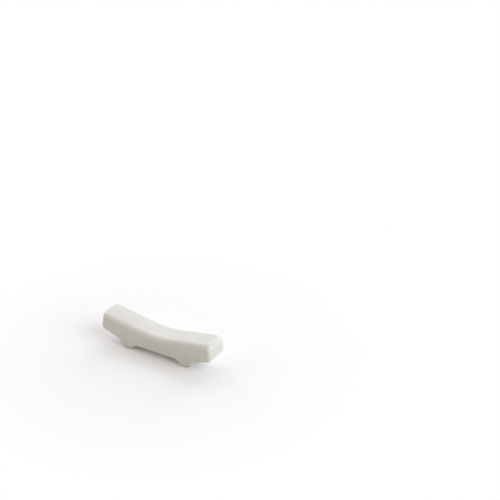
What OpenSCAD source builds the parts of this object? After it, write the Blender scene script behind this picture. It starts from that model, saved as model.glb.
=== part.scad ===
// Chopstick rest: a gull-winged porcelain bar that stands on two cross feet.
// The origin lies on the table under the middle of the bar, X runs along the bar and Z points up.

/* [Overall size] */
// Length of the bar between the lower corners of its two tips
rest_l = 56; // [50:0.5:72]
// Depth of the bar from its front face to its back face
rest_w = 11.6; // [7:0.1:20]
// Height of the upper corners of the tips above the table, before they are rounded
rest_h = 14.4; // [13:0.1:19]

/* [Saddle] */
// Height of the lowest point of the saddle above the table
saddle_h = 10.2; // [8:0.1:11.5]
// Radius of the hollow that joins the two wings, seen from the front
saddle_r = 42; // [12:1:60]

/* [Wings] */
// Thickness of a wing at its tip
tip_t = 7.9; // [6:0.1:9.5]
// How much further out the lower corner of a tip lies than its upper corner
tip_lean = 0.9; // [0:0.1:2]
// How far the upper edge of a tip is bowed outwards between the front and the back face
tip_bow = 1.7; // [0:0.1:2.2]
// Height above the table at which the underside of a wing meets its foot
root_h = 3.5; // [2.6:0.1:5.5]

/* [Feet] */
// Distance from the middle of the bar to the middle of each sole
foot_x = 15; // [12.5:0.1:18]
// Width of a sole along the bar
sole_w = 3.2; // [2:0.1:5]
// How far a foot widens outwards between its sole and the wing
foot_out_run = 2.9; // [2:0.1:5]
// How far a foot widens inwards between its sole and the arch
foot_in_run = 3; // [2:0.1:5.5]
// Height of the arch between the feet
arch_h = 2.4; // [1.6:0.1:4]

/* [Rounded corners] */
// Radius of the upper corner of a tip, seen from the front
tip_top_r = 2.4; // [2.4:0.1:3.5]
// Radius of the lower corner of a tip, seen from the front
tip_low_r = 1.6; // [1:0.1:3]
// Radius of the hollow where the underside of a wing runs into its foot
root_r = 2.4; // [0.5:0.1:3]
// Radius of the corners of a sole, seen from the front
sole_r = 1; // [1:0.1:1.4]
// Radius of the hollow where a foot runs into the arch
arch_r = 3; // [0.5:0.1:6]
// Radius of the long edges along the top of the bar
top_edge_r = 2.2; // [1.5:0.1:2.4]
// Radius that the long edges narrow down to at the upper corners of the tips
tip_edge_r = 1.5; // [0.9:0.1:2.2]
// Radius of the edges along the underside and the feet, up to the lower corners of the tips
side_edge_r = 0.9; // [0.5:0.1:0.9]

/* [Glaze] */
// Thickness of the fired glaze
glaze_t = 0.3; // [0.15:0.05:0.4]
// Height of the bare band that is wiped clean round each sole
bare_h = 0.8; // [0.7:0.1:1.4]
// How much of each sole is ground off after firing, so that the rest stands flat
ground_t = 0.15; // [0.05:0.05:0.3]

/* [Hidden] */

// Steps in a half turn of a corner's arc
arc_steps = 22;
// Steps across the saddle's shallow arc
saddle_steps = 12;
// Steps in the quarter round of an edge
edge_steps = 6;
// Steps across the bar from its front edge to its back edge
cross_steps = 6;
// Places of the extra points on the straight top of a wing, from the saddle's arc to the tip's corner
wing_shares = [0.2, 0.45, 0.7];

// The line of the top runs straight from a tip and touches the saddle's arc. Its angle follows from the
// triangle between the tip's corner, the arc's middle point and the point of touch.
tip_x = rest_l / 2 - tip_lean;
hollow_z = saddle_h + saddle_r;
tip_reach = norm([tip_x, hollow_z - rest_h]);
wing_angle = atan2(tip_x, hollow_z - rest_h) - acos(saddle_r / tip_reach);
valley_z = hollow_z - saddle_r / cos(wing_angle);

// The outline ends below the table by the glaze and by what is ground off, so that the clay's sole, which
// lies one glaze thickness further in, stands on the table once it is ground.
sole_z = -glaze_t - ground_t;
sole_in = foot_x - sole_w / 2;
sole_out = foot_x + sole_w / 2;

// Corners of the right half of the front view, before they are rounded
arch_corner = [sole_in - foot_in_run, arch_h];
inner_corner = [sole_in, sole_z];
outer_corner = [sole_out, sole_z];
root_corner = [sole_out + foot_out_run, root_h];
low_corner = [rest_l / 2, rest_h - tip_t];
high_corner = [tip_x, rest_h];
valley = [0, valley_z];

// A place on the left half for a place on the right half
function mirrored(p) = [-p[0], p[1]];

// A unit vector along v
function along(v) = v / norm(v);

// The outward direction of an edge that runs along d, with the solid on its left
function outward(d) = [d[1], -d[0]];

// Every point of the front view is a place, its outward direction and, where it slides, the edge that it
// slides on. This one is fixed.
function fixed(p, n) = [p, n, [0, 0]];

// One rounded corner as a list of points. The arc touches both edges, and its middle point lies inside
// the solid at an outer corner and outside it at a hollow one.
function rounded(before, here, after, r, half_turn = arc_steps) =
    let (
        d_in = along(here - before),
        d_out = along(after - here),
        turn = atan2(cross(d_in, d_out), d_in * d_out),
        side = sign(turn),
        n_in = outward(d_in),
        start = atan2(n_in[1], n_in[0]),
        middle = here - d_in * r * tan(abs(turn) / 2) - n_in * side * r,
        steps = max(3, ceil(abs(turn) / 180 * half_turn))
    )
    [for (k = [0:steps])
        let (a = start + turn * k / steps, n = [cos(a), sin(a)])
        fixed(middle + n * side * r, n)];

// The point of a foot's flank that slides along it to the glaze line
function glaze_point(from, to) =
    let (d = along(to - from))
    [[from, outward(d), d]];

// The extra points on the straight top of a wing, from the tip to the saddle
function wing_points(side) =
    let (
        touch_x = saddle_r * sin(wing_angle),
        corner_x = tip_x - tip_top_r,
        count = len(wing_shares)
    )
    [for (k = [0:count - 1])
        let (
            share = wing_shares[side > 0 ? count - 1 - k : k],
            x = touch_x + (corner_x - touch_x) * share
        )
        fixed([side * x, valley_z + x * tan(wing_angle)], [-side * sin(wing_angle), cos(wing_angle)])];

// The half of the underside right of the middle, from the arch to the tip, with or without its sole
function right_under(sole) = concat(
    rounded(mirrored(arch_corner), arch_corner, inner_corner, arch_r),
    glaze_point(arch_corner, inner_corner),
    sole ? rounded(arch_corner, inner_corner, outer_corner, sole_r) : [],
    sole ? rounded(inner_corner, outer_corner, root_corner, sole_r) : [],
    glaze_point(outer_corner, root_corner),
    rounded(outer_corner, root_corner, low_corner, root_r),
    rounded(root_corner, low_corner, high_corner, tip_low_r)
);

// A right half as a left half: mirrored and in the opposite order
function left_of(points) =
    [for (i = [len(points) - 1:-1:0])
        let (p = points[i])
        [mirrored(p[0]), mirrored(p[1]), -mirrored(p[2])]];

// The underside from the left tip to the right one
function under(sole) = concat(left_of(right_under(sole)), right_under(sole));

// The top from the right tip to the left one
saddle_half_turn = saddle_steps * 90 / wing_angle;
top = concat(
    rounded(low_corner, high_corner, valley, tip_top_r),
    wing_points(1),
    rounded(high_corner, valley, mirrored(high_corner), saddle_r, saddle_half_turn),
    wing_points(-1),
    rounded(valley, mirrored(high_corner), mirrored(low_corner), tip_top_r)
);

// Radius of the edge beside a point of the top: full where the top faces up, and smaller as it turns down
// into a tip
function top_edge(n) = tip_edge_r + (top_edge_r - tip_edge_r) * pow(n[1], 2);

// The whole front view, each point with the radius of the edge beside it
function front_view(sole) = concat(
    [for (p = under(sole)) concat(p, [side_edge_r])],
    [for (p = top) concat(p, [top_edge(p[1])])]
);

// How much of the tips' bow a point takes. It grows from nothing at the feet and at the lower corners of the
// tips to all of it at the upper corners, and falls to nothing at the front and the back face.
function bow_share(x, y, z) =
    let (
        out = (abs(x) - root_corner[0]) / (low_corner[0] - root_corner[0]),
        up = (z - low_corner[1]) / (high_corner[1] - low_corner[1])
    )
    pow(max(0, out), 2) * max(0, up) * (1 - pow(2 * y / rest_w, 2));

// The rings that go round the bar, from the front face to the back face. Each is an angle round the edge,
// from 90 at the flat face to 0 on the outline, and a place between both edges from -1 to 1.
rings = concat(
    [for (k = [edge_steps:-1:0]) [90 * k / edge_steps, -1]],
    [for (k = [1:cross_steps - 1]) [0, 2 * k / cross_steps - 1]],
    [for (k = [0:edge_steps]) [90 * k / edge_steps, 1]]
);

// One point of the surface that lies a given depth under the glazed one, on one of the rings. What would
// reach below the table is ground level with it.
function surface_point(p, ring, depth) =
    let (
        a = ring[0],
        side = ring[1],
        r = p[3],
        q = p[0] - p[1] * (r - (r - depth) * cos(a)),
        slide = p[2] == [0, 0] ? q : q + p[2] * (bare_h - q[1]) / p[2][1],
        y = side * (rest_w / 2 - r) + sign(side) * (r - depth) * sin(a),
        bow = sign(slide[0]) * tip_bow * bow_share(slide[0], y, slide[1])
    )
    [slide[0] + bow, y, max(0, slide[1])];

// All the rings of points of a surface
function shell_points(view, depth) = [for (ring = rings, p = view) surface_point(p, ring, depth)];

// The rings of a surface, counted
ring_count = len(rings);

// Triangles that close a flat face between its top, right to left, and its underside, left to right. Each
// step goes on along the line whose next point lies further right.
function zipped(view, split, i, j) =
    i < len(view) - 1 && (j == 0 || view[i + 1][0][0] >= view[j - 1][0][0])
        ? concat([[i, i + 1, j]], zipped(view, split, i + 1, j))
        : j > 0
            ? concat([[i, j - 1, j]], zipped(view, split, i, j - 1))
            : [];

// Faces of a surface over one view: both flat faces and the strips between the rings. A strip that starts
// at one of the gaps is left open.
function skin(view, split, gaps) =
    let (
        n = len(view),
        back = (ring_count - 1) * n,
        face = zipped(view, split, split, split - 1)
    )
    concat(
        [for (t = face) [t[2], t[1], t[0]]],
        [for (t = face) [t[0] + back, t[1] + back, t[2] + back]],
        [for (j = [0:ring_count - 2], i = [0:n - 1])
            if (len(search(i, gaps)) == 0)
                let (a = j * n + i, b = j * n + (i + 1) % n)
                each [[a, b, b + n], [a, b + n, a + n]]]);

// Edges of the outer skin round an open gap, in the direction in which the skin's own faces run
function gap_edges(n, gap) =
    let (back = (ring_count - 1) * n + gap)
    concat(
        [for (j = [0:ring_count - 2]) [j * n + gap, (j + 1) * n + gap]],
        [for (j = [0:ring_count - 2]) [(j + 1) * n + gap + 1, j * n + gap + 1]],
        [[gap + 1, gap], [back, back + 1]]);

// The fired clay, one glaze thickness under the surface, ground flat at its two soles
module porcelain_body() {
    view = front_view(true);
    color("linen")
        polyhedron(points = shell_points(view, glaze_t), faces = skin(view, len(under(true)), []), convexity = 6);
}

// The glaze over all of the clay but the soles and the bare band round them: an outer skin, an inner skin
// that lies on the clay, and a level rim round each foot where the glaze ends
module glaze_coat() {
    half = right_under(false);
    view = front_view(false);
    n = len(view);
    all = ring_count * n;
    right_gap = len(half) + len(rounded(mirrored(arch_corner), arch_corner, inner_corner, arch_r));
    left_gap = 2 * len(half) - 2 - right_gap;
    gaps = [left_gap, right_gap];
    outer = skin(view, 2 * len(half), gaps);
    inner = [for (t = outer) [t[2] + all, t[1] + all, t[0] + all]];
    rim = [for (gap = gaps, e = gap_edges(n, gap))
        each [[e[1], e[0], e[0] + all], [e[1], e[0] + all, e[1] + all]]];
    color("ivory")
        polyhedron(
            points = concat(shell_points(view, 0), shell_points(view, glaze_t)),
            faces = concat(outer, inner, rim),
            convexity = 8);
}

porcelain_body();
glaze_coat();
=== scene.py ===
"""A chopstick rest in glazed porcelain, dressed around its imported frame.

The rest is a bar with two rising wings, a saddle between them and two cross feet. Fired clay fills it, and
a thin coat of glaze covers the clay down to a glaze line just above the two ground soles. Both pieces are
worked out from one front view: a closed outline of straight runs and arcs, drawn in round its edges.
"""

import logging
import math
from dataclasses import dataclass, field
from enum import Enum

import bpy
import numpy as np
from mathutils import Matrix, Vector


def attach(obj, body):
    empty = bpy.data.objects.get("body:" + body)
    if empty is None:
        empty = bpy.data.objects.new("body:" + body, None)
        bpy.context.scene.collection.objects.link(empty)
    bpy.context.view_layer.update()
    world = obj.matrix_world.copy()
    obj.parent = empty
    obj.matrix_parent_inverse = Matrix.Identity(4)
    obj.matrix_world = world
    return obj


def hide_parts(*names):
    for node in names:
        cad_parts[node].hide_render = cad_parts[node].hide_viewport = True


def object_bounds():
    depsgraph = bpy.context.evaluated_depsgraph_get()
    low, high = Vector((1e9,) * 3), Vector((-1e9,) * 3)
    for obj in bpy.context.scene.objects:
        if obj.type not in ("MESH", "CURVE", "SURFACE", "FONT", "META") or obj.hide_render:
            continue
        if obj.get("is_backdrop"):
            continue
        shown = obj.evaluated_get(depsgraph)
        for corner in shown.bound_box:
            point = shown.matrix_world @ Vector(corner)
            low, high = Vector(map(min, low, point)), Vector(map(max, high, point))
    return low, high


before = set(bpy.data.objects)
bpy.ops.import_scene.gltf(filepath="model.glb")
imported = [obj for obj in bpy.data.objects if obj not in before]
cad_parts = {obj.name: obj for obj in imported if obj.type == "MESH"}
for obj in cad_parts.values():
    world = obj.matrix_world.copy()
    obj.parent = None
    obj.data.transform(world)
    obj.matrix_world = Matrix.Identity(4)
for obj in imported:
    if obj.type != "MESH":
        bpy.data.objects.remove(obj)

LOG = logging.getLogger("chopstick_rest")
MM = 0.001
FRAME_PIXELS = 500
EDGE_LAYER = "edge"
WHITE = (1.0, 1.0, 1.0)
BLACK = (0.0, 0.0, 0.0)

Colour = tuple[float, float, float]
Socket = bpy.types.NodeSocket


class Side(Enum):
    """The two flat faces of the bar, by the sign of their Y."""

    FRONT = -1
    BACK = 1


@dataclass(frozen=True)
class BarSizes:
    """The sizes of the glazed bar, in metres, before its corners are rounded."""

    length: float = 56.0 * MM
    depth: float = 11.6 * MM
    height: float = 14.4 * MM
    saddle_height: float = 10.2 * MM
    saddle_radius: float = 42.0 * MM
    tip_thickness: float = 7.9 * MM
    tip_lean: float = 0.9 * MM
    tip_bow: float = 1.7 * MM
    root_height: float = 3.5 * MM
    foot_place: float = 15.0 * MM
    sole_width: float = 3.2 * MM
    foot_out_run: float = 2.9 * MM
    foot_in_run: float = 3.0 * MM
    arch_height: float = 2.4 * MM
    tip_top_radius: float = 2.4 * MM
    tip_low_radius: float = 1.6 * MM
    root_radius: float = 2.4 * MM
    sole_radius: float = 1.0 * MM
    arch_radius: float = 3.0 * MM
    top_edge_radius: float = 2.2 * MM
    tip_edge_radius: float = 1.5 * MM
    side_edge_radius: float = 0.9 * MM
    glaze: float = 0.3 * MM
    bare_height: float = 0.8 * MM
    ground: float = 0.15 * MM

    @property
    def tip_x(self) -> float:
        """Half the length between the upper corners of the tips."""
        return self.length / 2 - self.tip_lean

    @property
    def hollow_z(self) -> float:
        """Height of the middle point of the saddle's arc."""
        return self.saddle_height + self.saddle_radius

    @property
    def wing_angle(self) -> float:
        """Slope of a wing's straight top, which touches the saddle's arc, in radians."""
        rise = self.hollow_z - self.height
        reach = math.hypot(self.tip_x, rise)
        return math.atan2(self.tip_x, rise) - math.acos(self.saddle_radius / reach)

    @property
    def touch_x(self) -> float:
        """Distance from the middle at which the saddle's arc meets a wing's straight top."""
        return self.saddle_radius * math.sin(self.wing_angle)

    @property
    def valley_z(self) -> float:
        """Height at which the straight tops of both wings would meet."""
        return self.hollow_z - self.saddle_radius / math.cos(self.wing_angle)

    @property
    def sole_z(self) -> float:
        """Height of the unground outline under a foot, below the table by the glaze and the grinding."""
        return -self.glaze - self.ground

    def bow(self, x: np.ndarray, y: np.ndarray, z: np.ndarray) -> np.ndarray:
        """How far a point is carried along X by the bowed upper edges of the tips.

        The way grows with the square of the distance from the foot's outer corner and evenly with the height
        over the tip's lower corner, and falls with the square of Y to nothing at the front and back face.

        Args:
            x: place along the bar.
            y: place between the front and the back face.
            z: height over the table.

        Returns:
            The way along X, outwards.
        """
        root, low, high = self.corner("root"), self.corner("low"), self.corner("high")
        out = np.maximum((np.abs(x) - root[0]) / (low[0] - root[0]), 0.0)
        up = np.maximum((z - low[1]) / (high[1] - low[1]), 0.0)
        return np.sign(x) * self.tip_bow * out**2 * up * (1 - (2 * y / self.depth) ** 2)

    def corner(self, name: str) -> np.ndarray:
        """Gives a corner of the right half of the front view.

        Args:
            name: arch, inner, outer, root, low or high, from the middle to the tip.

        Returns:
            The corner's X and Z before it is rounded.
        """
        sole_in = self.foot_place - self.sole_width / 2
        sole_out = self.foot_place + self.sole_width / 2
        places = {
            "arch": (sole_in - self.foot_in_run, self.arch_height),
            "inner": (sole_in, self.sole_z),
            "outer": (sole_out, self.sole_z),
            "root": (sole_out + self.foot_out_run, self.root_height),
            "low": (self.length / 2, self.height - self.tip_thickness),
            "high": (self.tip_x, self.height),
        }
        return np.array(places[name])


@dataclass
class Line:
    """A run of points of the front view, each with what the surface needs to know about it.

    Attributes:
        place: X and Z of each point, shape (n, 2).
        outward: the unit vector square to the outline, shape (n, 2).
        slide: the direction in which a point slides to its height over the glaze line, or zero, shape (n, 2).
        above: that height over the glaze line, shape (n,).
        bend: how sharply the outline turns there, over the radius, positive at an outer corner, shape (n,).
        round_off: radius of the edge beside the point, zero until it is known, shape (n,).
    """

    place: np.ndarray
    outward: np.ndarray
    slide: np.ndarray
    above: np.ndarray
    bend: np.ndarray
    round_off: np.ndarray

    def __len__(self) -> int:
        """The number of points."""
        return len(self.place)

    def slides(self) -> np.ndarray:
        """Which points slide, shape (n,)."""
        return np.abs(self.slide).sum(1) > 0

    def cut(self, keep: slice) -> "Line":
        """The points that a slice picks."""
        return Line(*(part[keep] for part in vars(self).values()))

    def reversed(self) -> "Line":
        """The same run from its last point to its first."""
        return self.cut(slice(None, None, -1))

    def mirrored(self) -> "Line":
        """The same run on the left half, from its far end to its near end."""
        flip = np.array([-1.0, 1.0])
        back = self.reversed()
        turned = (back.place * flip, back.outward * flip, back.slide * flip)
        return Line(*turned, back.above, back.bend, back.round_off)

    @staticmethod
    def joined(runs: list["Line"]) -> "Line":
        """One run from several, end to end."""
        return Line(*(np.concatenate(parts) for parts in zip(*(vars(run).values() for run in runs))))

    @staticmethod
    def plain(place: np.ndarray, outward: np.ndarray, bend: float = 0.0) -> "Line":
        """A run whose points don't slide.

        Args:
            place: X and Z of each point.
            outward: the outward unit vectors, one for each point or one for all.
            bend: one over the radius of the run, or zero on a straight one.

        Returns:
            The run.
        """
        outward = np.broadcast_to(outward, place.shape).copy()
        still = np.zeros(len(place))
        return Line(place, outward, np.zeros(place.shape), still, still + bend, still.copy())


def unit(vector: np.ndarray) -> np.ndarray:
    """A vector divided by its length."""
    return vector / np.linalg.norm(vector)


def square_to(direction: np.ndarray) -> np.ndarray:
    """The outward unit vector of an edge that runs along a direction with the solid on its left."""
    return np.array([direction[1], -direction[0]])


def rounded(before: np.ndarray, here: np.ndarray, after: np.ndarray, radius: float, steps: int) -> Line:
    """Rounds one corner with an arc that touches both of its edges.

    The arc's middle point lies one radius from both edges, inside the solid at an outer corner and outside it
    at a hollow one. A point at angle a is the middle point plus or minus the radius times (cos a, sin a).

    Args:
        before: the corner before this one.
        here: the corner to round.
        after: the corner after this one.
        radius: the arc's radius.
        steps: the number of steps along the arc.

    Returns:
        The arc's points.
    """
    way_in, way_out = unit(here - before), unit(after - here)
    turn = math.atan2(way_in[0] * way_out[1] - way_in[1] * way_out[0], float(way_in @ way_out))
    side = math.copysign(1.0, turn)
    first = square_to(way_in)
    middle = here - way_in * radius * math.tan(abs(turn) / 2) - first * side * radius
    angle = math.atan2(first[1], first[0]) + turn * np.linspace(0.0, 1.0, steps + 1)
    outward = np.stack([np.cos(angle), np.sin(angle)], axis=1)
    return Line.plain(middle + outward * side * radius, outward, side / radius)


def between(start: Line, end: Line, step: float) -> Line:
    """The inner points of the straight run from the end of one arc to the start of the next.

    Args:
        start: the arc before the run.
        end: the arc after the run.
        step: the widest distance between two points.

    Returns:
        Evenly spaced points, without the two ends.
    """
    a, b = start.place[-1], end.place[0]
    count = max(1, math.ceil(np.linalg.norm(b - a) / step))
    share = (np.arange(1, count) / count)[:, None]
    return Line.plain(a + (b - a) * share, start.outward[-1])


@dataclass
class FrontView:
    """The outline of the bar seen from the front, as an underside and a top of equally many points.

    Attributes:
        sizes: the bar's sizes.
        step: the widest distance between two points of a straight run.
        rungs: the rows of a flat face, from the underside to the top.
        over_line: heights over the glaze line at which a foot's flank has a point.
        hollow_steps: steps along the arc of a hollow corner.
        tip_steps: steps along the arc of a tip's corner.
        sole_steps: steps along the arc of a sole's corner.
        worn_radius: radius of the long edges at the left tip, which was wiped more than the right one.
        under: the underside, from the left tip to the right one.
        top: the top, with a point over each point of the underside.
        soles: the first and the last point of each sole in the underside.
    """

    sizes: BarSizes
    step: float = 0.42 * MM
    rungs: int = 34
    over_line: tuple[float, ...] = tuple(MM * z for z in (0.0, 0.02, 0.05, 0.1, 0.17, 0.26, 0.4, 0.6))
    hollow_steps: int = 9
    tip_steps: int = 10
    sole_steps: int = 12
    worn_radius: float = 2.2 * MM
    under: Line = field(init=False)
    top: Line = field(init=False)
    soles: list[tuple[int, int]] = field(init=False)

    def __post_init__(self) -> None:
        """Works out both runs and where the soles lie in the underside."""
        half, sole = self._right_under()
        self.under = Line.joined([half.mirrored(), half.cut(slice(1, None))])
        middle = len(half) - 1
        self.soles = [(middle - sole[1], middle - sole[0]), (middle + sole[0], middle + sole[1])]
        self.top = self._top()
        s = self.sizes
        self.under.round_off[:] = s.side_edge_radius
        tip_radius = np.where(self.top.place[:, 0] < 0, self.worn_radius, s.tip_edge_radius)
        self.top.round_off[:] = tip_radius + (s.top_edge_radius - tip_radius) * self.top.outward[:, 1] ** 2

    def _flank(self, start: str, end: str, rising: bool) -> Line:
        """The sliding points on a foot's flank.

        Args:
            start: the corner where the flank starts.
            end: the corner where it ends.
            rising: whether the run goes up from the sole.

        Returns:
            One point for each height over the glaze line.
        """
        a, b = self.sizes.corner(start), self.sizes.corner(end)
        way = unit(b - a)
        above = np.array(self.over_line if rising else self.over_line[::-1])
        flank = Line.plain(np.tile(a, (len(above), 1)), square_to(way))
        flank.slide += way
        flank.above += above
        return flank

    def _right_under(self) -> tuple[Line, tuple[int, int]]:
        """The underside from the middle to the right tip, and the first and last point of its sole."""
        s = self.sizes
        names = ("arch", "inner", "outer", "root", "low", "high")
        arch, inner, outer, root, low, high = (s.corner(name) for name in names)
        middle = Line.plain(np.array([[0.0, s.arch_height]]), np.array([0.0, -1.0]))
        arch_arc = rounded(middle.place[0], arch, inner, s.arch_radius, self.hollow_steps)
        inner_arc = rounded(arch, inner, outer, s.sole_radius, self.sole_steps)
        outer_arc = rounded(inner, outer, root, s.sole_radius, self.sole_steps)
        root_arc = rounded(outer, root, low, s.root_radius, self.hollow_steps)
        low_arc = rounded(root, low, high, s.tip_low_radius, self.tip_steps)
        before = [middle, between(middle, arch_arc, self.step), arch_arc, self._flank("arch", "inner", False)]
        sole = [inner_arc, between(inner_arc, outer_arc, self.step), outer_arc]
        after = [self._flank("outer", "root", True), root_arc, between(root_arc, low_arc, self.step), low_arc]
        first = sum(len(r) for r in before)
        last = first + sum(len(r) for r in sole) - 1
        return Line.joined(before + sole + after), (first, last)

    def _top(self) -> Line:
        """The top from the left tip to the right one, with a point over each point of the underside.

        Over the low corner's arc lies the high corner's. Everywhere else the top follows from its own X,
        which is the underside's X in the ratio of the two arcs' inner ends: on the saddle's arc, z is the
        height of its middle point less the root of radius squared less x squared, and beyond it z rises
        along the wing.
        """
        s = self.sizes
        low, high = s.corner("low"), s.corner("high")
        valley = np.array([0.0, s.valley_z])
        arc = rounded(low, high, valley, s.tip_top_radius, self.tip_steps).reversed()
        ends = self.tip_steps + 1
        under = self.under.cut(slice(ends, -ends))
        under_x = self._spread(under.place[:, 0], under.slides())
        x = under_x * (arc.place[0, 0] / self.under.place[-ends, 0])
        hollow = np.abs(x) < s.touch_x
        round_z = s.hollow_z - np.sqrt(s.saddle_radius**2 - np.where(hollow, x, 0.0) ** 2)
        wing_z = s.valley_z + np.abs(x) * math.tan(s.wing_angle)
        lean = np.where(hollow, x / s.saddle_radius, np.sign(x) * math.sin(s.wing_angle))
        outward = np.stack([-lean, np.sqrt(1 - lean**2)], axis=1)
        middle = Line.plain(np.stack([x, np.where(hollow, round_z, wing_z)], axis=1), outward)
        middle.bend = np.where(hollow, -1 / s.saddle_radius, 0.0)
        return Line.joined([arc.mirrored(), middle, arc])

    @staticmethod
    def _spread(x: np.ndarray, sliding: np.ndarray) -> np.ndarray:
        """Spaces out the places of sliding points, which all start at one corner.

        Args:
            x: the X of each point of the underside.
            sliding: which of them slide.

        Returns:
            The same X, with each sliding run spaced evenly between its fixed neighbours.
        """
        index = np.arange(len(x))
        return np.interp(index, index[~sliding], x[~sliding])


@dataclass
class Relief:
    """The unevenness of the fired rest, which only ever goes inwards from the true form.

    Attributes:
        wave: the greatest depth of the slow waves of the fired glaze.
        sag: how much a flat face sinks in its middle.
        line_wobble: how much the glaze line wanders up and down.
        slump: how far the upper front edge of the left wing sank in the kiln.
        slump_start: how far left of the middle the slump begins.
        slump_run: length over which it grows to its full depth.
        wave_lengths: the lengths of the slow waves.
        seed: the seed of the waves' directions.
    """

    wave: float = 0.045 * MM
    sag: float = 0.06 * MM
    line_wobble: float = 0.12 * MM
    slump: float = 0.6 * MM
    slump_start: float = 7.0 * MM
    slump_run: float = 7.0 * MM
    wave_lengths: tuple[float, ...] = (21.0 * MM, 13.0 * MM, 8.0 * MM)
    seed: int = 11

    def waves(self, place: np.ndarray) -> np.ndarray:
        """Slow waves over the surface.

        The sum of one sine for each wave length, each along its own seeded direction, brought to 0 to 1 and
        multiplied by the greatest depth.

        Args:
            place: points of shape (..., 3).

        Returns:
            The depth at each point, of shape (...).
        """
        rng = np.random.default_rng(self.seed)
        total = np.zeros(place.shape[:-1])
        for length in self.wave_lengths:
            way = unit(rng.normal(size=3))
            total = total + np.sin(place @ way * (2 * math.pi / length) + rng.uniform(0, 2 * math.pi))
        return self.wave * (0.5 + 0.5 * total / len(self.wave_lengths))

    def line(self, x: np.ndarray, y: np.ndarray, base: float) -> np.ndarray:
        """Height of the glaze line at a place of the plan.

        The bare height plus a wobble of two sines, one along X and Y together and a shorter one against
        them.

        Args:
            x: the X of each point.
            y: the Y of each point.
            base: the mean height.

        Returns:
            The height at each point.
        """
        slow = np.sin((x * 0.9 + y) * (2 * math.pi / (9.0 * MM)))
        quick = np.sin((x - y * 1.3) * (2 * math.pi / (3.4 * MM)) + 1.0)
        return base + self.line_wobble * (0.7 * slow + 0.3 * quick)

    def slumped(self, points: np.ndarray, sizes: BarSizes) -> np.ndarray:
        """Lowers the left wing towards the front, as it slumped in the kiln.

        The drop is greatest at the tip's upper front corner. It falls with the square of the way to the
        back face, evenly with the depth under the wing's straight top, and smoothly towards the saddle.

        Args:
            points: the points of a surface, shape (n, 3).
            sizes: the sizes of the bar.

        Returns:
            The points of the slumped wing.
        """
        run = np.clip((-points[:, 0] - self.slump_start) / self.slump_run, 0.0, 1.0)
        front = (0.5 - points[:, 1] / sizes.depth) ** 2
        top = sizes.valley_z - points[:, 0] * math.tan(sizes.wing_angle)
        high = np.clip(1 - (top - points[:, 2]) / sizes.tip_thickness, 0.0, 1.0)
        lowered = points.copy()
        lowered[:, 2] -= self.slump * run**2 * (3 - 2 * run) * front * high
        return lowered


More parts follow.
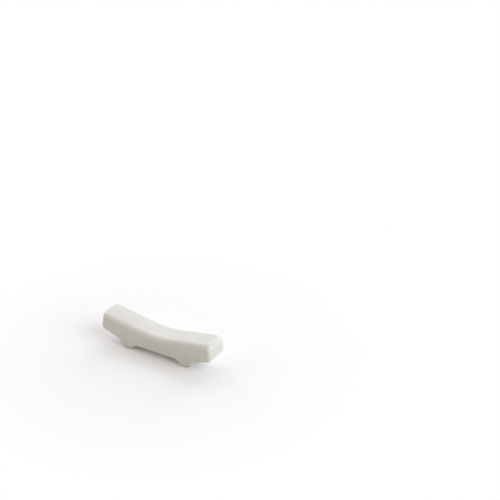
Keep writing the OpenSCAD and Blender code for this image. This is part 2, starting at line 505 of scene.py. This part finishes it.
@dataclass
class Skin:
    """A closed surface a given depth under the glazed one, as one grid of points round the bar.

    The loop of the front view is carried from the front face to the back face. Round an edge of radius r, a
    point lies r less (r - depth) cos a inside the outline and r less (r - depth) sin a inside the flat face,
    where a goes from a quarter turn at the face to zero on the outline. Between both edges a is zero.

    Attributes:
        view: the front view.
        relief: the unevenness.
        depth: how far the surface lies under the glazed one.
        edge_steps: steps round an edge.
        cross_steps: steps from the front edge to the back edge.
    """

    view: FrontView
    relief: Relief
    depth: float
    edge_steps: int = 9
    cross_steps: int = 24

    def loop(self) -> Line:
        """The whole outline, against the clock seen from the front: underside, right tip, top, left tip."""
        under, top = self.view.under, self.view.top
        right = self._rungs(under.cut(slice(-1, None)), top.cut(slice(-1, None)))
        left = self._rungs(top.cut(slice(0, 1)), under.cut(slice(0, 1)))
        return Line.joined([under, right, top.reversed(), left])

    def _rungs(self, start: Line, end: Line) -> Line:
        """The inner points of the straight end face between two points."""
        share = self.row_shares()[1:-1]
        if start.place[0, 1] > end.place[0, 1]:
            share = 1 - share[::-1]
        run = Line.plain(start.place + (end.place - start.place) * share[:, None], start.outward[0])
        run.round_off = start.round_off + (end.round_off - start.round_off) * share
        return run

    def row_shares(self) -> np.ndarray:
        """Where the rows of a flat face lie from underside to top: close above the glaze line, then even."""
        tall = self.view.sizes.saddle_height
        near = np.array(self.view.over_line) / tall
        far = np.linspace(near[-1], 1.0, self.view.rungs - len(near) + 2)[1:]
        return np.concatenate([near, far])

    def rows(self) -> tuple[np.ndarray, np.ndarray]:
        """The rows from the front face to the back face.

        Returns:
            The angle round the edge of each row, and its place between both edges from -1 to 1.
        """
        quarter = np.linspace(math.pi / 2, 0.0, self.edge_steps + 1)
        cross = np.linspace(-1.0, 1.0, self.cross_steps + 1)[1:-1]
        angle = np.concatenate([quarter, np.zeros(len(cross)), quarter[::-1]])
        share = np.concatenate([-np.ones(len(quarter)), cross, np.ones(len(quarter))])
        return angle, share

    def loops(self, loop: Line, depth: np.ndarray) -> np.ndarray:
        """Carries the loop through all rows.

        Args:
            loop: the outline, n points.
            depth: the depth of each point under the glazed surface, shape (n, rows).

        Returns:
            The points, shape (n, rows, 3).
        """
        s = self.view.sizes
        angle, share = self.rows()
        radius = loop.round_off[:, None]
        inset = radius - (radius - depth) * np.cos(angle)
        place = loop.place[:, None, :] - loop.outward[:, None, :] * inset[..., None]
        y = share * (s.depth / 2 - radius) + np.sign(share) * (radius - depth) * np.sin(angle)
        slides = loop.slides()
        rise = np.where(slides, loop.slide[:, 1], 1.0)[:, None]
        goal = self.relief.line(place[..., 0], y, s.bare_height) + loop.above[:, None]
        way = np.where(slides[:, None], (goal - place[..., 1]) / rise, 0.0)
        place = place + loop.slide[:, None, :] * way[..., None]
        x, z = place[..., 0], place[..., 1]
        return np.stack([x + s.bow(x, y, z), y, np.maximum(z, 0.0)], axis=-1)

    def faces(self, count: int, gaps: list[tuple[int, int]]) -> tuple[np.ndarray, np.ndarray, np.ndarray]:
        """The quads of the whole surface, facing outwards.

        Args:
            count: the number of points of the underside, as many as of the top.
            gaps: first and last point of each run of the underside that is left open between the flat faces.

        Returns:
            The quads as vertex numbers, and the vertex numbers of the grids of the front and the back face.
        """
        rungs = len(self.row_shares()) - 1
        rows = len(self.rows()[0])
        total = 2 * count + 2 * (rungs - 1)
        loop = np.arange(total)
        after = (loop + 1) % total
        shut = np.ones(total, bool)
        for first, last in gaps:
            shut[first - 1 : last + 1] = False
        row = np.arange(rows - 1)
        a = loop[shut][:, None] * rows + row
        b = after[shut][:, None] * rows + row
        quads = [np.stack([a, a + 1, b + 1, b], axis=-1).reshape(-1, 4)]
        grids = []
        inner = (count - 2) * (rungs - 1)
        for turn, side in enumerate(Side):
            edge = 0 if side is Side.FRONT else rows - 1
            grid = np.empty((count, rungs + 1), int)
            own = total * rows + turn * inner
            grid[1:-1, 1:-1] = own + np.arange(inner).reshape(count - 2, rungs - 1)
            column = np.arange(count)
            rung = np.arange(1, rungs)
            grid[:, 0] = column * rows + edge
            grid[:, -1] = (2 * count + rungs - 2 - column) * rows + edge
            grid[-1, 1:-1] = (count + rung - 1) * rows + edge
            grid[0, 1:-1] = (total - rung) * rows + edge
            corners = [grid[:-1, :-1], grid[1:, :-1], grid[1:, 1:], grid[:-1, 1:]]
            if side is Side.BACK:
                corners = corners[::-1]
            quads.append(np.stack(corners, axis=-1).reshape(-1, 4))
            grids.append(grid)
        return np.concatenate(quads), grids[0], grids[1]

    def build(self, coat: bool, uneven: bool) -> tuple[np.ndarray, np.ndarray, np.ndarray]:
        """Works out the points and the quads.

        Args:
            coat: whether the soles are left open and the flat faces end at the glaze line.
            uneven: whether the relief and the glaze's rounded end are put in.

        Returns:
            The points, the quads and the bend of each point.
        """
        s = self.view.sizes
        loop = self.loop()
        count = len(self.view.under)
        rows = len(self.rows()[0])
        depth = np.full((len(loop), rows), self.depth)
        points = self.loops(loop, depth)
        if uneven:
            depth = self.depth + self._unevenness(points)
            points = self.loops(loop, depth)
        if coat:
            self._lay_on_line(points)
        quads, front, back = self.faces(count, self.view.soles if coat else [])
        points = points.reshape(-1, 3)
        flats = [self._flat(points, grid, side, uneven) for grid, side in zip((front, back), Side)]
        whole = self.relief.slumped(np.concatenate([points] + flats), s)
        angle, _ = self.rows()
        turning = np.sin(2 * angle) / loop.round_off[:, None]
        bend = (loop.bend[:, None] * np.cos(angle) + turning).reshape(-1)
        return whole, quads, np.concatenate([bend, np.zeros(len(whole) - len(bend))])

    def _unevenness(self, points: np.ndarray) -> np.ndarray:
        """The depth that waves and the glaze's rounded end add at each point.

        Within one glaze thickness over the glaze line the surface curves in like a quarter round, to a
        tenth of the thickness over the clay.

        Args:
            points: the points of the true surface, shape (..., 3).

        Returns:
            The depth at each point, of shape (...).
        """
        s = self.view.sizes
        over = points[..., 2] - self.relief.line(points[..., 0], points[..., 1], s.bare_height)
        share = np.clip(1 - over / s.glaze, 0.0, 1.0)
        bead = s.glaze * 0.9 * (1 - np.sqrt(np.clip(1 - share**2, 0.0, 1.0)))
        fade = np.clip(over / (3 * s.glaze), 0.0, 1.0)
        return self.relief.waves(points) * fade + bead

    def _lay_on_line(self, points: np.ndarray) -> None:
        """Moves the points over an open sole onto the glaze line, evenly between the foot's two flanks.

        Args:
            points: the loop's points, changed in place.
        """
        for first, last in self.view.soles:
            share = (np.arange(first, last + 1) - (first - 1)) / (last + 2 - first)
            start, end = points[first - 1], points[last + 1]
            line = start + (end - start) * share[:, None, None]
            line[..., 2] = self.relief.line(line[..., 0], line[..., 1], self.view.sizes.bare_height)
            points[first : last + 1] = line

    def _flat(self, points: np.ndarray, grid: np.ndarray, side: Side, uneven: bool) -> np.ndarray:
        """The inner points of a flat face, straight between its underside and its top.

        Uneven, the face sinks in its middle by the sag, times the squared sine of the way from underside to
        top, times one less the sixth power of the way to the tip, and by the waves and the rounded end.

        Args:
            points: all points of the loops.
            grid: the vertex numbers of the face.
            side: which face it is.
            uneven: whether it sinks.

        Returns:
            The points of the grid without its border, one after another.
        """
        share = self.row_shares()[1:-1]
        low, high = points[grid[1:-1, 0]], points[grid[1:-1, -1]]
        place = low[:, None, :] + (high - low)[:, None, :] * share[None, :, None]
        half = self.view.sizes.depth / 2 - self.depth
        place[..., 1] = side.value * half
        if uneven:
            across = np.sin(math.pi * share) ** 2
            reach = np.clip(np.abs(place[..., 0]) / (self.view.sizes.length / 2), 0.0, 1.0)
            sag = self.relief.sag * across[None, :] * (1 - reach**6)
            place[..., 1] -= side.value * (sag + self._unevenness(place))
        return place.reshape(-1, 3)


@dataclass
class MeshBuilder:
    """Turns arrays into a finished Blender object that rides on the rest's body."""

    name: str
    slot: str
    node: str

    def make(self, points: np.ndarray, quads: np.ndarray, bend: np.ndarray, sharp: float) -> bpy.types.Object:
        """Makes the object.

        Args:
            points: the vertices, in metres.
            quads: the faces as vertex numbers.
            bend: one over the radius at each vertex, positive on an outer edge.
            sharp: faces that meet at more than this angle, in radians, are shaded with an edge.

        Returns:
            The object, standing for its CAD node.
        """
        used, flat = np.unique(quads, return_inverse=True)
        points, bend = points[used], self._softened(bend[used], flat.reshape(-1, 4))
        quads = flat.reshape(-1, 4)
        mesh = bpy.data.meshes.new(self.name)
        mesh.vertices.add(len(points))
        mesh.vertices.foreach_set("co", points.astype(np.float32).ravel())
        mesh.loops.add(quads.size)
        mesh.loops.foreach_set("vertex_index", quads.astype(np.int32).ravel())
        mesh.polygons.add(len(quads))
        mesh.polygons.foreach_set("loop_start", np.arange(0, quads.size, 4, dtype=np.int32))
        mesh.polygons.foreach_set("use_smooth", np.ones(len(quads), bool))
        mesh.update(calc_edges=True)
        mesh.validate()
        mesh.set_sharp_from_angle(angle=sharp)
        layer = mesh.attributes.new(EDGE_LAYER, "FLOAT", "POINT")
        layer.data.foreach_set("value", (bend * MM).astype(np.float32))
        obj = bpy.data.objects.new(self.name, mesh)
        bpy.context.scene.collection.objects.link(obj)
        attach(obj, "root")
        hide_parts(self.node)
        self.slot
        LOG.info("%s: %d points, %d faces", self.name, len(points), len(quads))
        return obj

    @staticmethod
    def _softened(values: np.ndarray, quads: np.ndarray, rounds: int = 6) -> np.ndarray:
        """Evens out a value over the surface: each vertex takes the mean of its faces' corners, a few times.

        Args:
            values: one value for each vertex.
            quads: the faces.
            rounds: how many times.

        Returns:
            The softened values.
        """
        corner = quads.ravel()
        share = np.bincount(corner, minlength=len(values)).astype(float)
        for _ in range(rounds):
            face = values[quads].mean(axis=1)
            values = np.bincount(corner, weights=np.repeat(face, 4), minlength=len(values)) / share
        return values


class Effect(Enum):
    """The shader groups that both finishes use, by their names."""

    DRIFT = "tone_drift"
    SPECKS = "fired_specks"
    GRAIN = "surface_grain"


@dataclass
class Nodes:
    """A node tree with short ways to add the nodes that the finishes need."""

    tree: bpy.types.NodeTree

    def add(self, kind: str) -> bpy.types.Node:
        """A new node of a kind."""
        return self.tree.nodes.new(kind)

    def feed(self, socket: Socket, value: float | Colour | Socket) -> None:
        """Gives an input socket a number or a colour, or links it to an output socket."""
        if isinstance(value, bpy.types.NodeSocket):
            self.tree.links.new(value, socket)
        elif isinstance(value, tuple):
            socket.default_value = (*value, 1.0)
        else:
            socket.default_value = value

    def math(self, operation: str, first: float | Socket, second: float | Socket) -> Socket:
        """The result of a named operation on two sockets or numbers."""
        node = self.add("ShaderNodeMath")
        node.operation = operation
        self.feed(node.inputs[0], first)
        self.feed(node.inputs[1], second)
        return node.outputs[0]

    def mix(self, mask: Socket, low: Colour | Socket, high: Colour | Socket) -> Socket:
        """A mix of two colours.

        Args:
            mask: where the second colour shows.
            low: the colour or socket at zero.
            high: the colour or socket at one.

        Returns:
            The colour's socket.
        """
        node = self.add("ShaderNodeMix")
        node.data_type = "RGBA"
        self.feed(node.inputs["Factor"], mask)
        for label, value in (("A", low), ("B", high)):
            self.feed(next(i for i in node.inputs if i.name == label and i.type == "RGBA"), value)
        return next(o for o in node.outputs if o.type == "RGBA")

    def span(self, value: Socket, low: float, high: float, to: tuple[float, float] = (0.0, 1.0)) -> Socket:
        """Maps a value from one span to another, held at its ends.

        Args:
            value: the socket to map.
            low: the value that maps to the first end.
            high: the value that maps to the second end.
            to: the two ends.

        Returns:
            The mapped socket.
        """
        node = self.add("ShaderNodeMapRange")
        node.inputs["From Min"].default_value = low
        node.inputs["From Max"].default_value = high
        node.inputs["To Min"].default_value, node.inputs["To Max"].default_value = to
        self.feed(node.inputs["Value"], value)
        return node.outputs["Result"]

    def place(self) -> Socket:
        """The place on the object."""
        return self.add("ShaderNodeTexCoord").outputs["Object"]

    def noise(self, where: Socket, scale: Socket, detail: float) -> Socket:
        """A noise from 0 to 1 at a place, with its cells to the metre and its octaves of detail."""
        node = self.add("ShaderNodeTexNoise")
        node.inputs["Detail"].default_value = detail
        self.feed(node.inputs["Vector"], where)
        self.feed(node.inputs["Scale"], scale)
        return node.outputs["Fac"]

    def bump(self, height: Socket, strength: float, distance: float) -> Socket:
        """The normal bent by a height from 0 to 1, with how much of it shows and its depth in metres."""
        node = self.add("ShaderNodeBump")
        node.inputs["Strength"].default_value = strength
        node.inputs["Distance"].default_value = distance
        self.feed(node.inputs["Height"], height)
        return node.outputs["Normal"]

    def effect(self, effect: Effect, **values: float) -> Socket:
        """Places a shared group, which is built when it is first asked for.

        Args:
            effect: which group.
            **values: the group's inputs.

        Returns:
            The group's only output.
        """
        node = self.add("ShaderNodeGroup")
        node.node_tree = bpy.data.node_groups.get(effect.value) or BUILDERS[effect]()
        for label, value in values.items():
            node.inputs[label].default_value = value
        return node.outputs[0]


@dataclass
class Group(Nodes):
    """The inside of a shared shader group, with its named inputs and its one output."""

    inputs: bpy.types.Node
    outputs: bpy.types.Node

    @classmethod
    def start(cls, effect: Effect, **inputs: float) -> "Group":
        """Starts a group.

        Args:
            effect: which group.
            **inputs: each input's name and default.

        Returns:
            The group without its inner nodes.
        """
        tree = bpy.data.node_groups.new(effect.value, "ShaderNodeTree")
        for label, default in inputs.items():
            socket = tree.interface.new_socket(label, in_out="INPUT", socket_type="NodeSocketFloat")
            socket.default_value = default
        label = "Height" if effect is Effect.GRAIN else "Mask"
        tree.interface.new_socket(label, in_out="OUTPUT", socket_type="NodeSocketFloat")
        return cls(tree, tree.nodes.new("NodeGroupInput"), tree.nodes.new("NodeGroupOutput"))

    def given(self, label: str) -> Socket:
        """The socket of an input."""
        return self.inputs.outputs[label]

    def end(self, result: Socket) -> bpy.types.NodeTree:
        """Gives the group its output and returns its tree."""
        self.feed(self.outputs.inputs[0], result)
        return self.tree


def tone_drift() -> bpy.types.NodeTree:
    """A slow change of tone over the piece: two sizes of noise, mixed half and half."""
    group = Group.start(Effect.DRIFT, Scale=90.0)
    where = group.place()
    large = group.noise(where, group.given("Scale"), 2.0)
    small = group.noise(where, group.math("MULTIPLY", group.given("Scale"), 4.3), 4.0)
    return group.end(group.math("MULTIPLY", group.math("ADD", large, small), 0.5))


def fired_specks() -> bpy.types.NodeTree:
    """Sparse round specks: near the middles of some cells of a Voronoi pattern, picked by their colour."""
    group = Group.start(Effect.SPECKS, Scale=400.0, Size=0.1, Share=0.1)
    cells = group.add("ShaderNodeTexVoronoi")
    group.feed(cells.inputs["Vector"], group.place())
    group.feed(cells.inputs["Scale"], group.given("Scale"))
    near = group.math("DIVIDE", cells.outputs["Distance"], group.given("Size"))
    soft = group.math("MAXIMUM", group.math("SUBTRACT", 1.0, near), 0.0)
    split = group.add("ShaderNodeSeparateColor")
    group.feed(split.inputs["Color"], cells.outputs["Color"])
    chosen = group.math("LESS_THAN", split.outputs[0], group.given("Share"))
    full = group.math("MULTIPLY", group.math("MULTIPLY", soft, chosen), 2.5)
    return group.end(group.math("MINIMUM", full, 1.0))


def surface_grain() -> bpy.types.NodeTree:
    """Fine height for a bump: a coarse and a fine noise, with the fine one weighted by its input."""
    group = Group.start(Effect.GRAIN, Scale=900.0, Fine=0.3)
    where = group.place()
    coarse = group.noise(where, group.given("Scale"), 1.0)
    fine = group.noise(where, group.math("MULTIPLY", group.given("Scale"), 5.0), 3.0)
    return group.end(group.math("ADD", coarse, group.math("MULTIPLY", fine, group.given("Fine"))))


BUILDERS = {Effect.DRIFT: tone_drift, Effect.SPECKS: fired_specks, Effect.GRAIN: surface_grain}


@dataclass
class Surface(Nodes):
    """A new material with its node tree and its Principled shader."""

    material: bpy.types.Material
    shader: bpy.types.Node

    @classmethod
    def start(cls, name: str) -> "Surface":
        """Starts a material with a name."""
        made = bpy.data.materials.new(name)
        made.use_nodes = True
        return cls(made.node_tree, made, made.node_tree.nodes["Principled BSDF"])

    def give(self, label: str, value: float | Colour | Socket) -> None:
        """Gives one of the shader's inputs a number or a colour, or links it to an output socket."""
        self.feed(self.shader.inputs[label], value)


@dataclass(frozen=True)
class GlazeFinish:
    """A satin clear glaze over white porcelain: cool where it pools, warm where it runs thin.

    Attributes:
        body: the colour of the flat faces.
        drifted: the colour that the body drifts to.
        thin: the colour on the edges.
        pooled: the colour in the hollows.
        speck: the colour of a fired speck.
        roughness: the mean roughness.
        coat: weight of the clear coat.
        coat_roughness: roughness of the clear coat.
        ior: the glaze's index of refraction.
        peel_depth: the depth of the orange peel.
    """

    body: Colour = (0.735, 0.725, 0.665)
    drifted: Colour = (0.70, 0.685, 0.62)
    thin: Colour = (0.775, 0.755, 0.69)
    pooled: Colour = (0.66, 0.67, 0.62)
    speck: Colour = (0.33, 0.26, 0.19)
    roughness: float = 0.5
    coat: float = 0.1
    coat_roughness: float = 0.38
    ior: float = 1.5
    peel_depth: float = 0.03 * MM

    def build(self) -> bpy.types.Material:
        """Makes the material."""
        made = Surface.start("satin_glaze")
        drift = made.effect(Effect.DRIFT, Scale=70.0)
        colour = made.mix(made.span(drift, 0.35, 0.65), self.body, self.drifted)
        edge = made.add("ShaderNodeAttribute")
        edge.attribute_name = EDGE_LAYER
        colour = made.mix(made.span(edge.outputs["Fac"], 0.1, 0.9), colour, self.thin)
        colour = made.mix(made.span(edge.outputs["Fac"], -0.05, -0.35), colour, self.pooled)
        specks = made.effect(Effect.SPECKS, Scale=420.0, Size=0.03, Share=0.025)
        made.give("Base Color", made.mix(made.span(specks, 0.0, 1.0, (0.0, 0.4)), colour, self.speck))
        shine = made.effect(Effect.DRIFT, Scale=160.0)
        made.give("Roughness", made.span(shine, 0.3, 0.7, (self.roughness - 0.05, self.roughness + 0.06)))
        made.give("Coat Weight", self.coat)
        made.give("Coat Roughness", self.coat_roughness)
        made.give("IOR", self.ior)
        peel = made.effect(Effect.GRAIN, Scale=620.0, Fine=0.12)
        made.give("Normal", made.bump(peel, 0.25, self.peel_depth))
        return made.material


@dataclass(frozen=True)
class BareFinish:
    """Bare fired porcelain: matte, a little warm, with fine grain and grey rub marks where it stands.

    Attributes:
        clay: the clay's colour.
        drifted: the colour that it drifts to.
        rubbed: the colour of the rub marks.
        roughness: the mean roughness.
        grain_depth: the depth of the grain.
    """

    clay: Colour = (0.70, 0.66, 0.59)
    drifted: Colour = (0.64, 0.60, 0.525)
    rubbed: Colour = (0.42, 0.41, 0.39)
    roughness: float = 0.78
    grain_depth: float = 0.04 * MM

    def build(self) -> bpy.types.Material:
        """Makes the material."""
        made = Surface.start("bare_porcelain")
        drift = made.effect(Effect.DRIFT, Scale=260.0)
        colour = made.mix(made.span(drift, 0.35, 0.65), self.clay, self.drifted)
        rub = made.effect(Effect.SPECKS, Scale=900.0, Size=0.35, Share=0.22)
        made.give("Base Color", made.mix(made.span(rub, 0.0, 1.0, (0.0, 0.45)), colour, self.rubbed))
        made.give("Roughness", made.span(drift, 0.3, 0.7, (self.roughness - 0.06, self.roughness + 0.06)))
        grain = made.effect(Effect.GRAIN, Scale=2600.0, Fine=0.6)
        made.give("Normal", made.bump(grain, 0.5, self.grain_depth))
        return made.material


@dataclass
class PorcelainBody:
    """The fired clay: everything one glaze thickness under the surface, with two ground soles."""

    view: FrontView
    relief: Relief
    finish: BareFinish = field(default_factory=BareFinish)
    sharp_degrees: float = 35.0

    def build(self) -> bpy.types.Object:
        """Makes the clay and dresses it."""
        skin = Skin(self.view, self.relief, self.view.sizes.glaze)
        points, quads, bend = skin.build(coat=False, uneven=False)
        maker = MeshBuilder("fired_clay", "bare_porcelain", "porcelain_body")
        obj = maker.make(points, quads, bend, math.radians(self.sharp_degrees))
        obj.data.materials.append(self.finish.build())
        return obj


@dataclass
class GlazeCoat:
    """The glaze: an uneven outer skin, an inner skin on the clay and a rounded end at the glaze line."""

    view: FrontView
    relief: Relief
    finish: GlazeFinish = field(default_factory=GlazeFinish)
    sharp_degrees: float = 60.0

    def build(self) -> bpy.types.Object:
        """Makes the coat and dresses it."""
        outer, quads, bend = Skin(self.view, self.relief, 0.0).build(coat=True, uneven=True)
        inner, _, _ = Skin(self.view, self.relief, self.view.sizes.glaze).build(coat=True, uneven=False)
        points = np.concatenate([outer, inner])
        closed = np.concatenate([quads, quads[:, ::-1] + len(outer), self._rim(quads, len(outer))])
        maker = MeshBuilder("glaze", "glaze", "glaze_coat")
        bend = np.concatenate([bend, np.zeros(len(inner))])
        obj = maker.make(points, closed, bend, math.radians(self.sharp_degrees))
        obj.data.materials.append(self.finish.build())
        return obj

    @staticmethod
    def _rim(quads: np.ndarray, shift: int) -> np.ndarray:
        """The quads that join the open edges of the outer skin to the same edges of the inner one.

        Args:
            quads: the outer skin's quads.
            shift: what to add to an outer vertex's number to get the inner one's.

        Returns:
            One quad for each edge that only one outer quad has.
        """
        start, end = quads.ravel(), np.roll(quads, -1, axis=1).ravel()
        key = start.astype(np.int64) * shift + end
        twin = end.astype(np.int64) * shift + start
        alone = ~np.isin(key, twin)
        u, v = start[alone], end[alone]
        return np.stack([v, u, u + shift, v + shift], axis=1)


@dataclass
class Viewpoint:
    """The camera: where it looks, from which side and how far, and how narrow its view is."""

    azimuth: float = math.radians(30.4)
    elevation: float = math.radians(28.4)
    distance: float = 625.5 * MM
    target: tuple[float, float, float] = (-14.0 * MM, 98.55 * MM, 0.0)
    focal_pixels: float = 1259.0
    sensor: float = 36.0

    def build(self) -> bpy.types.Object:
        """Makes the scene's camera."""
        data = bpy.data.cameras.new("camera")
        data.sensor_fit = "HORIZONTAL"
        data.sensor_width = self.sensor
        data.lens = self.focal_pixels / FRAME_PIXELS * self.sensor
        data.clip_start = 0.01
        back = backward(self.azimuth, self.elevation)
        obj = bpy.data.objects.new("camera", data)
        bpy.context.scene.collection.objects.link(obj)
        turn = back.to_track_quat("Z", "Y").to_matrix().to_4x4()
        obj.matrix_world = Matrix.Translation(Vector(self.target) + back * self.distance) @ turn
        bpy.context.scene.camera = obj
        return obj


def backward(azimuth: float, elevation: float) -> Vector:
    """The unit vector from the rest towards something that stands at an azimuth and an elevation.

    Args:
        azimuth: the turn from the front towards the right tip, in radians.
        elevation: the angle above the table, in radians.

    Returns:
        The direction.
    """
    flat = math.cos(elevation)
    return Vector((math.sin(azimuth) * flat, -math.cos(azimuth) * flat, math.sin(elevation)))


@dataclass(frozen=True)
class SoftBox:
    """A square area lamp.

    Attributes:
        name: the lamp's name.
        azimuth: the turn from the front towards the right tip, in degrees.
        elevation: the angle above the table, in degrees.
        side: the length of its side, in metres.
        power: its power, in watts.
        tint: its colour, a cool daylight.
        distance: how far it stands from the rest, in metres.
    """

    name: str
    azimuth: float
    elevation: float
    side: float
    power: float
    tint: Colour = (0.825, 0.885, 1.0)
    distance: float = 1.3

    def build(self) -> bpy.types.Object:
        """Makes the lamp, turned to the rest."""
        data = bpy.data.lights.new(self.name, "AREA")
        data.shape = "SQUARE"
        data.size = self.side
        data.energy = self.power
        data.color = self.tint
        obj = bpy.data.objects.new(self.name, data)
        bpy.context.scene.collection.objects.link(obj)
        way = backward(math.radians(self.azimuth), math.radians(self.elevation))
        turn = way.to_track_quat("Z", "Y").to_matrix().to_4x4()
        obj.matrix_world = Matrix.Translation(way * self.distance) @ turn
        return obj


@dataclass
class Studio:
    """A pale floor, soft lamps and a pale surround.

    Attributes:
        boxes: the lamps.
        ambient: the colour of the surround's light on the rest and the floor.
        floor_tone: how pale the floor is.
        floor_side: the length of the floor's side, in metres.
        floor_fade: the distances over which the floor fades into the white surround, in metres.
    """

    boxes: tuple[SoftBox, ...] = (
        SoftBox("right_lamp", 92.0, 30.0, 1.25, 14.8),
        SoftBox("back_lamp", 180.0, 32.0, 1.1, 7.3),
        SoftBox("back_left_lamp", 240.0, 32.0, 1.1, 6.2),
        SoftBox("left_lamp", 300.0, 32.0, 1.1, 3.6),
    )
    ambient: Colour = (0.317, 0.26, 0.183)
    floor_tone: float = 0.82
    floor_side: float = 12.0
    floor_fade: tuple[float, float] = (0.03, 0.09)

    def build(self) -> None:
        """Makes the surround, the lamps and the floor."""
        self._world()
        for box in self.boxes:
            box.build()
        self._floor()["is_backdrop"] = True

    def _world(self) -> None:
        """A white surround for what the camera and reflections see, and dimmer light from it otherwise."""
        world = bpy.data.worlds.new("surround")
        bpy.context.scene.world = world
        world.use_nodes = True
        nodes = Nodes(world.node_tree)
        path = nodes.add("ShaderNodeLightPath").outputs
        seen = nodes.math("MAXIMUM", path["Is Camera Ray"], path["Is Glossy Ray"])
        seen = nodes.math("MAXIMUM", seen, path["Is Transmission Ray"])
        nodes.feed(nodes.tree.nodes["Background"].inputs["Color"], nodes.mix(seen, self.ambient, WHITE))

    def _floor(self) -> bpy.types.Object:
        """A flat floor, white where no shadow falls, that fades into the surround for the camera."""
        half = self.floor_side / 2
        mesh = bpy.data.meshes.new("floor")
        corners = [(-half, -half, 0.0), (half, -half, 0.0), (half, half, 0.0), (-half, half, 0.0)]
        mesh.from_pydata(corners, [], [(0, 1, 2, 3)])
        obj = bpy.data.objects.new("floor", mesh)
        bpy.context.scene.collection.objects.link(obj)
        made = Surface.start("pale_floor")
        seen = made.add("ShaderNodeLightPath").outputs["Is Camera Ray"]
        away = made.add("ShaderNodeVectorMath")
        away.operation = "LENGTH"
        made.feed(away.inputs[0], made.place())
        gone = made.math("MULTIPLY", made.span(away.outputs["Value"], *self.floor_fade), seen)
        near = made.mix(seen, (self.floor_tone,) * 3, WHITE)
        made.give("Base Color", made.mix(gone, near, BLACK))
        made.give("Emission Color", made.mix(gone, BLACK, WHITE))
        made.give("Emission Strength", 1.0)
        made.give("Roughness", 1.0)
        made.give("Specular IOR Level", 0.0)
        mesh.materials.append(made.material)
        return obj


def box_lines(box: tuple[Vector, Vector]) -> list[list[float]]:
    """A box's two corners as plain lists."""
    return [[float(value) for value in corner] for corner in box]


def main() -> None:
    """Builds the rest, the studio and the camera, and works out the bounds before and after dressing."""
    logging.basicConfig(level=logging.INFO, format="%(name)s: %(message)s")
    packed = box_lines(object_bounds())
    bpy.context.scene.view_settings.view_transform = "Standard"
    Viewpoint().build()
    Studio().build()
    view = FrontView(BarSizes())
    relief = Relief()
    PorcelainBody(view, relief).build()
    GlazeCoat(view, relief).build()
    bpy.context.view_layer.update()
    {"packed": packed, "dressed": box_lines(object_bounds())}


if __name__ == "__main__":
    main()
